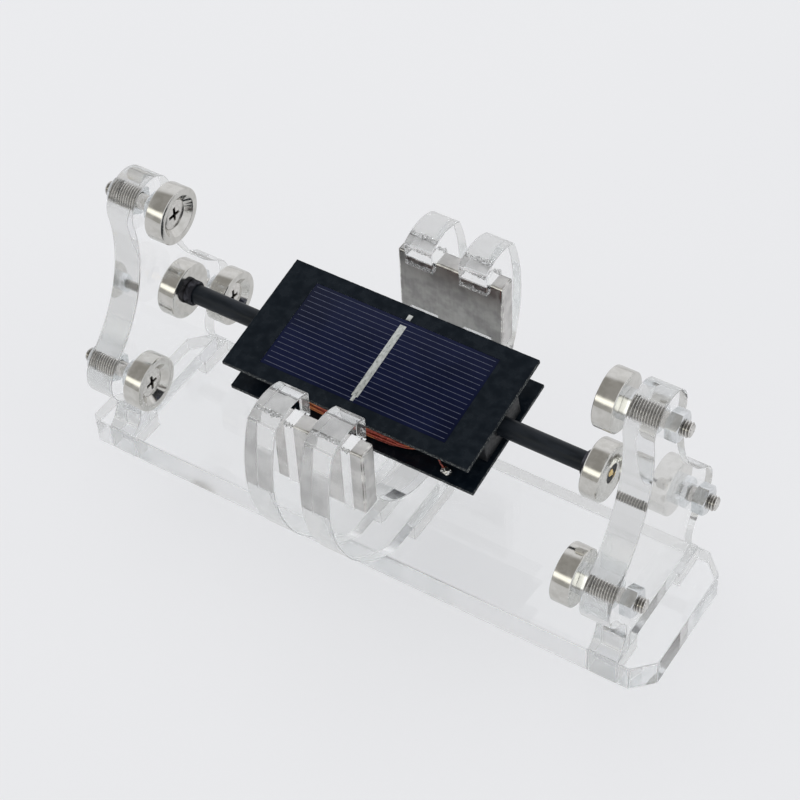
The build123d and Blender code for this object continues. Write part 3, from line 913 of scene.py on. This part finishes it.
for side in ("left", "right"):
    for part, bevel, material, slot in (
        ("rotor_magnet", 0.00035, ring_nickel, "ring_nickel"),
        ("half_shaft", 0.00012, black_tube, "black_tube"),
        ("collar", 0.0003, black_rubber, "black_rubber"),
        ("pivot_pin", 0.00006, pin_brass, "pin_brass"),
    ):
        node = f"{side}_{part}"
        name = node + "_turned"
        fitted(name, softened_copy(node, name, bevel, segments=3), material, "rotor", slot, node)


# Panels: black circuit board cut roughly to size, with a blue cell laid in a shallow bed and
# one wide bus bar across it. Thin printed fingers run along the cell.
REST_TURN = 11.1
PANEL_X = -2.65
PANEL_HALF_LENGTH = 34.7
PANEL_HALF_WIDTH = 17.0
PANEL_OUTSIDE = 5.85
PANEL_THICKNESS = 1.2
CELL_HALF_LENGTH = 26.2
CELL_HALF_WIDTH = 13.0
CELL_THICKNESS = 0.25
EDGE_STEP = 0.55
EDGE_RAG = 0.07
rotor_rest = Matrix.Translation((0, 0, AXIS_Z)) @ Matrix.Rotation(math.radians(REST_TURN), 4, "X")
panel_rest = rotor_rest @ Matrix.Translation((PANEL_X, 0, 0))
BOARD_LAYERS = (
    (0.02, PANEL_OUTSIDE - PANEL_THICKNESS, 0.4),
    (0.0, PANEL_OUTSIDE - PANEL_THICKNESS + 0.12, 1),
    (0.0, PANEL_OUTSIDE - 0.3, 1),
    (0.02, PANEL_OUTSIDE - 0.07, 1),
    (0.09, PANEL_OUTSIDE, 1),
)


def board(side, seed):
    """A board whose sawn edge is slightly ragged, drawn with the cell's bed."""
    rng = random.Random(seed)
    long_steps = int(2 * PANEL_HALF_LENGTH / EDGE_STEP)
    wide_steps = int(2 * PANEL_HALF_WIDTH / EDGE_STEP)
    spots = [(-1 + 2 * k / long_steps, -1) for k in range(long_steps)]
    spots += [(1, -1 + 2 * k / wide_steps) for k in range(wide_steps)]
    spots += [(1 - 2 * k / long_steps, 1) for k in range(long_steps)]
    spots += [(-1, 1 - 2 * k / wide_steps) for k in range(wide_steps)]
    made = bmesh.new()
    layers = []
    for inset, height, rag in BOARD_LAYERS:
        row = []
        for u, v in spots:
            cut_back = inset + rag * EDGE_RAG * (rng.random() ** 3)
            place = (u * (PANEL_HALF_LENGTH - cut_back), v * (PANEL_HALF_WIDTH - cut_back), height)
            row.append(made.verts.new(place))
        layers.append(row)
    for height in (PANEL_OUTSIDE, PANEL_OUTSIDE - CELL_THICKNESS):
        layers.append(
            [made.verts.new((u * CELL_HALF_LENGTH, v * CELL_HALF_WIDTH, height)) for u, v in spots]
        )
    for near, far in zip(layers, layers[1:]):
        rows_joined(made, near, far)
    made.faces.new(layers[0])
    made.faces.new(layers[-1])
    bmesh.ops.triangulate(made, faces=[f for f in made.faces if len(f.verts) > 4])
    bmesh.ops.recalc_face_normals(made, faces=made.faces[:])
    cut = made.faces.layers.float.new("cut_edge")
    for face in made.faces:
        face[cut] = 1 - abs(face.normal.z)
    return made


def slab(half_x, half_y, low, high, bevel, x=0.0, y=0.0):
    """A block with rounded edges."""
    made = bmesh.new()
    bmesh.ops.create_cube(made, size=1)
    size = Matrix.Diagonal((2 * half_x, 2 * half_y, high - low, 1))
    place = Matrix.Translation((x, y, (low + high) / 2))
    bmesh.ops.transform(made, matrix=place @ size, verts=made.verts[:])
    bmesh.ops.bevel(
        made, geom=made.edges[:], offset=bevel, segments=2, profile=0.5, affect="EDGES"
    )
    return made


def panel_place(side):
    """Where things drawn on the upper panel go for the panel of that side."""
    return panel_rest if side == "upper" else panel_rest @ Matrix.Rotation(math.pi, 4, "X")


def on_panel(made, name, side, material, slot, node):
    """A piece drawn on the upper panel, put on the panel of that side."""
    fitted(name, scaled_mesh(made, name, panel_place(side)), material, "rotor", slot, node)


panel_black, panel_tree, panel_skin = new_material("panel_black", Specular_IOR_Level=0.12)
lacquer = finish_of(panel_black, uneven, Scale=420.0, Low=0.16, High=0.3, Relief=0.000012)
fibre = finish_of(panel_black, uneven, Scale=3200.0, Low=0.0, High=1.0)
speck = ranged(panel_tree, fibre["Gloss"], 0.62, 0.9)
sawn = attribute(panel_tree, "cut_edge")
speck_share = maths(panel_tree, "MULTIPLY", speck, sawn)
board_tone = mixed(panel_tree, lacquer["Mask"], (0.004, 0.007, 0.011, 1), (0.008, 0.012, 0.017, 1))
board_tone = mixed(panel_tree, speck_share, board_tone, (0.17, 0.18, 0.17, 1))
board_gloss = blended(panel_tree, sawn, lacquer["Gloss"], 0.6)
dressed(panel_skin, board_tone, board_gloss, lacquer["Normal"])
cell_blue = plain_look(
    "cell_blue", (0.003, 0.005, 0.020, 1), (0.005, 0.008, 0.032, 1),
    dict(Scale=60.0, Low=0.16, High=0.26, Relief=0.000004), Specular_IOR_Level=0.08,
)
bus_silver = plain_look(
    "bus_silver", (0.42, 0.44, 0.42, 1), (0.60, 0.62, 0.60, 1),
    dict(Stretch=(1, 0.5, 1), Scale=1500.0, Low=0.25, High=0.5, Relief=0.00002), Metallic=0.5,
)

# Fingers: a row of thin printed bars, as many and as far apart as the inputs say
fingers, fingers_in = shape_tree(
    "printed_fingers", Count="Int", Spacing="Float", Size="Vector", Finish="Material"
)
fingers_gap = add_node(fingers, "ShaderNodeCombineXYZ", {1: fingers_in["Spacing"]})
fingers_less = maths(fingers, "SUBTRACT", fingers_in["Count"], 1.0)
fingers_reach = add_node(
    fingers, "ShaderNodeVectorMath", {0: fingers_gap.outputs[0], "Scale": fingers_less},
    operation="SCALE",
)
fingers_start = add_node(
    fingers, "ShaderNodeVectorMath", {0: fingers_reach.outputs[0], "Scale": -0.5}, operation="SCALE"
)
fingers_line = add_node(
    fingers, "GeometryNodeMeshLine",
    {
        "Count": fingers_in["Count"], "Start Location": fingers_start.outputs[0],
        "Offset": fingers_gap.outputs[0],
    },
)
fingers_bar = add_node(fingers, "GeometryNodeMeshCube", {"Size": fingers_in["Size"]})
fingers_set = add_node(
    fingers, "GeometryNodeInstanceOnPoints",
    {"Points": fingers_line.outputs[0], "Instance": fingers_bar.outputs[0]},
)
ended(fingers, fingers_set, "GeometryNodeRealizeInstances", fingers_in["Finish"])

finger_print, finger_tree, finger_skin = new_material(
    "finger_print", Metallic=0.0, Specular_IOR_Level=0.3
)
printed = finish_of(finger_print, uneven, Scale=900.0, Low=0.4, High=0.6)
finger_tone = mixed(finger_tree, printed["Mask"], (0.058, 0.067, 0.105, 1), (0.10, 0.11, 0.155, 1))
finger_tree.links.new(finger_tone, finger_skin.inputs["Base Color"])
finger_tree.links.new(printed["Gloss"], finger_skin.inputs["Roughness"])

FINGER_COUNT = 17
FINGER_SPACING = 1.5
FINGER_SIZE = (51.0, 0.13, 0.03)
BUS_HALF_WIDTH = 0.9
BUS_HALF_LENGTH = 11.3
FINGER_DEPTH = 0.055
CELL_ROOM = 0.05
PRINT = {
    "Count": FINGER_COUNT, "Spacing": FINGER_SPACING, "Size": FINGER_SIZE, "Finish": finger_print,
}
for side, seed in (("upper", 3), ("lower", 8)):
    on_panel(
        board(side, seed), f"{side}_board", side, panel_black, "panel_black", f"{side}_panel_board"
    )
    cell = slab(
        CELL_HALF_LENGTH - CELL_ROOM, CELL_HALF_WIDTH - CELL_ROOM, PANEL_OUTSIDE - 0.24,
        PANEL_OUTSIDE - 0.06, 0.04,
    )
    on_panel(cell, f"{side}_cell", side, cell_blue, "cell_blue", f"{side}_solar_cell")
    below, above = PANEL_OUTSIDE - 0.04, PANEL_OUTSIDE + 0.04
    bus = slab(BUS_HALF_WIDTH, BUS_HALF_LENGTH, PANEL_OUTSIDE - 0.08, PANEL_OUTSIDE, 0.03)
    for part in (
        slab(0.45, 0.7, PANEL_OUTSIDE - 0.08, PANEL_OUTSIDE, 0.03, y=-BUS_HALF_LENGTH - 0.68),
        slab(0.6, 0.8, below, above, 0.03, x=0.15, y=BUS_HALF_LENGTH + 2.6),
    ):
        extra = bpy.data.meshes.new("bus_part")
        part.to_mesh(extra)
        part.free()
        bus.from_mesh(extra)
    on_panel(bus, f"{side}_bus", side, bus_silver, "bus_silver", f"{side}_bus_bar")
    lines = grown(f"{side}_fingers", bpy.data.meshes.new("line"), fingers, PRINT)
    depth = Matrix.Translation((0, 0, PANEL_OUTSIDE - FINGER_DEPTH))
    lines.transform(Matrix.Scale(MM, 4) @ panel_place(side) @ depth)
    fitted(f"{side}_fingers", lines, finger_print, "rotor", "bus_silver")


# Coil: enamelled copper wire wound by hand round a black former between the panels, in layers
# that lie slightly loose. The outer layers are wound here wire by wire.
WIRE_RADIUS = 0.23
TURNS = 9
TURN_DRIFT = 0.5
COIL_HALF_LENGTH = 22.0
COIL_HALF_WIDTH = 14.65
COIL_CORNER = 9.0
SIDE_BOW = 0.07
COIL_HALF_HEIGHT = 3.95
LAYERS = 3
LAYER_STEP = 0.44
CORNER_STEPS = 7
CORE_INSIDE = 8.05
CORE_HEIGHT = 4.1
RIB_DEPTH = 0.1


def racetrack(half_length, half_width, corner):
    """Points round a rounded rectangle whose long sides bow outwards, as wound wire does."""
    arcs = []
    for cx, cy, start in ((1, -1, -90), (1, 1, 0), (-1, 1, 90), (-1, -1, 180)):
        x, y = cx * (half_length - corner), cy * (half_width - corner)
        turns = [math.radians(start + 90 * k / CORNER_STEPS) for k in range(CORNER_STEPS + 1)]
        arcs.append([(x + corner * math.cos(a), y + corner * math.sin(a)) for a in turns])
    full = []
    for arc, following, parts in zip(arcs, arcs[1:] + arcs[:1], (4, 12, 4, 12)):
        (x, y), (nx, ny) = arc[-1], following[0]
        steps = range(1, parts)
        full += arc + [(x + (nx - x) * p / parts, y + (ny - y) * p / parts) for p in steps]
    return [(x, y * (1 - SIDE_BOW * (x / half_length) ** 2)) for x, y in full]


def winding_points(rng):
    """The wire's route through its layers, up and down, each turn a little off its place."""
    points = []
    for layer in range(LAYERS):
        inset = layer * LAYER_STEP
        track = racetrack(COIL_HALF_LENGTH - inset, COIL_HALF_WIDTH - inset, COIL_CORNER - inset)
        for turn in range(TURNS):
            off, lean = rng.uniform(-TURN_DRIFT, 0.05), rng.uniform(-0.12, 0.12)
            for k, (x, y) in enumerate(track):
                share = (turn + k / len(track)) / TURNS
                height = COIL_HALF_HEIGHT * (2 * share - 1) * (1 if layer % 2 else -1)
                wander = noise.noise(Vector((x * 0.09, y * 0.09, turn * 3.1 + layer * 17)))
                out = 1 + (off + 0.22 * wander - 0.05) / COIL_HALF_WIDTH
                points.append((x * out, y * out, height + lean + 0.12 * wander))
    return points


wire_tree, wire_in = shape_tree("drawn_wire", Wire_Radius="Float", Sides="Int", Finish="Material")
wire_line = add_node(wire_tree, "GeometryNodeMeshToCurve", {0: wire_in["Geometry"]})
wire_round = add_node(
    wire_tree, "GeometryNodeCurvePrimitiveCircle",
    {"Resolution": wire_in["Sides"], "Radius": wire_in["Wire Radius"]},
)
wire_skin = add_node(
    wire_tree, "GeometryNodeCurveToMesh",
    {"Curve": wire_line.outputs[0], "Profile Curve": wire_round.outputs[0], "Fill Caps": True},
)
ended(wire_tree, wire_skin, "GeometryNodeSetShadeSmooth", wire_in["Finish"])

enamelled_wire, wire_nodes, wire_shader = new_material(
    "enamelled_wire", Specular_IOR_Level=0.6, Metallic=0.35
)
enamel = finish_of(enamelled_wire, uneven, Scale=700.0, Low=0.14, High=0.32, Relief=0.000005)
# Painted shade: this finish darkens the wire in narrow bands across the coil's height, for the
# shade between turns.
shade = finish_of(
    enamelled_wire, uneven, Stretch=(0.03, 0.03, 1), Scale=1250.0, Low=-0.15, High=1.15
)
patch = finish_of(enamelled_wire, uneven, Stretch=(0.4, 1, 1), Scale=330.0, Low=-1.2, High=1.0)
enamel_tone = mixed(wire_nodes, shade["Gloss"], (0.045, 0.003, 0.004, 1), (0.60, 0.13, 0.09, 1))
enamel_tone = mixed(wire_nodes, patch["Gloss"], enamel_tone, (0.62, 0.22, 0.07, 1))
# Painted shade: the inner layers are near black, for the shade under the outer wires.
buried_shade = attribute(wire_nodes, "buried_shade")
enamel_tone = mixed(wire_nodes, buried_shade, enamel_tone, (0.018, 0.002, 0.003, 1))
dressed(wire_shader, enamel_tone, enamel["Gloss"], enamel["Normal"])

TAIL_X = 25.6
route = winding_points(random.Random(11))
route = [
    (TAIL_X, -COIL_HALF_WIDTH + 0.2, -4.1), (TAIL_X - 1.3, -COIL_HALF_WIDTH + 0.6, -2.9),
    (TAIL_X - 2.7, -COIL_HALF_WIDTH + 1.9, -1.3), (TAIL_X - 5.5, -COIL_HALF_WIDTH + 5.0, -0.5),
] + route[::-1]
line_mesh = bpy.data.meshes.new("coil_line")
line_mesh.from_pydata(route, [(k, k + 1) for k in range(len(route) - 1)], [])
line_mesh.transform(Matrix.Scale(MM, 4) @ panel_rest)
winding = grown(
    "coil_wire", line_mesh, wire_tree,
    {"Wire Radius": WIRE_RADIUS * MM, "Sides": 8, "Finish": enamelled_wire},
)
fitted("coil_wire", winding, enamelled_wire, "rotor", "enamelled_wire", "coil_winding")


def inner_layers():
    """The inner layers as one ring whose skin is ribbed like the wires under it."""
    outer, inner, high = COIL_HALF_WIDTH - LAYERS * LAYER_STEP + 0.1, CORE_INSIDE, CORE_HEIGHT
    bumps = []
    for (r0, z0), (r1, z1), count in (
        ((outer, -high), (outer, high), 16), ((outer, high), (inner, high), 12),
        ((inner, high), (inner, -high), 2), ((inner, -high), (outer, -high), 12),
    ):
        for k in range(count * 4):
            t = k / (count * 4)
            dip = RIB_DEPTH * (abs(math.sin(math.pi * t * count)) - 1) if count > 2 else 0
            span = math.hypot(r1 - r0, z1 - z0)
            ny, nz = (z1 - z0) / span, -(r1 - r0) / span
            bumps.append((r0 + (r1 - r0) * t + ny * dip, z0 + (z1 - z0) * t + nz * dip))
    made = bmesh.new()
    loops = []
    longer = COIL_HALF_LENGTH - COIL_HALF_WIDTH
    for radius, height in bumps:
        corner = max(0.6, COIL_CORNER - (COIL_HALF_WIDTH - radius))
        track = racetrack(radius + longer, radius, corner)
        loops.append([made.verts.new((x, y, height)) for x, y in track])
    for near, far in zip(loops, loops[1:] + loops[:1]):
        rows_joined(made, near, far)
    bmesh.ops.recalc_face_normals(made, faces=made.faces[:])
    # Every point is marked for that painted shade.
    deep = made.verts.layers.float.new("buried_shade")
    for vert in made.verts:
        vert[deep] = 1
    return made


fitted(
    "coil_inner_layers",
    scaled_mesh(inner_layers(), "coil_inner_layers", panel_rest),
    enamelled_wire, "rotor", "enamelled_wire", "coil_core",
)


# Former and end blocks: black plastic blocks glued between the panels. The former holds the coil
# and the end blocks hold the shafts.
MOULDED_BEVEL = 0.00025
block_black = plain_look(
    "block_black", (0.012, 0.013, 0.015, 1), (0.024, 0.025, 0.028, 1),
    dict(Scale=1100.0, Low=0.38, High=0.6, Relief=0.00002), Specular_IOR_Level=0.35,
)
for node, slot in (
    ("left_rotor_block", "black_block"), ("right_rotor_block", "black_block"),
    ("coil_former", "former_black"),
):
    name = node + "_moulded"
    fitted(name, softened_copy(node, name, MOULDED_BEVEL), block_black, "rotor", slot, node)


# Solder joints: a small bright bead on each panel's inner face, where the coil's ends are
# soldered down.
BEAD_X = TAIL_X + 0.5
BEAD_LUMPS = 0.3
BEAD_FOOT = 0.25
BEAD_SINK = 0.6
solder = plain_look(
    "solder", (0.62, 0.62, 0.60, 1), (0.82, 0.82, 0.80, 1),
    dict(Scale=1300.0, Low=0.1, High=0.3, Relief=0.00003), Metallic=1.0,
)
for side in ("upper", "lower"):
    made = bmesh.new()
    bmesh.ops.create_icosphere(made, subdivisions=4, radius=1.0)
    own = Vector((3 if side == "upper" else 9, 0, 0))
    for vert in made.verts:
        x, y, z = vert.co
        lump = 1 + BEAD_LUMPS * noise.noise(vert.co * 2.1 + own)
        foot = 1 + BEAD_FOOT * max(0.0, -z)
        vert.co = Vector((x * 1.3 * foot * lump, y * foot * lump, max(z * 0.7 * lump, -BEAD_SINK)))
    low = PANEL_OUTSIDE - PANEL_THICKNESS - BEAD_SINK
    place = Matrix.Translation((BEAD_X, COIL_HALF_WIDTH, low)) @ Matrix.Rotation(math.pi, 4, "X")
    bmesh.ops.transform(made, matrix=place, verts=made.verts[:])
    on_panel(made, f"{side}_solder_bead", side, solder, "solder", f"{side}_solder_joint")
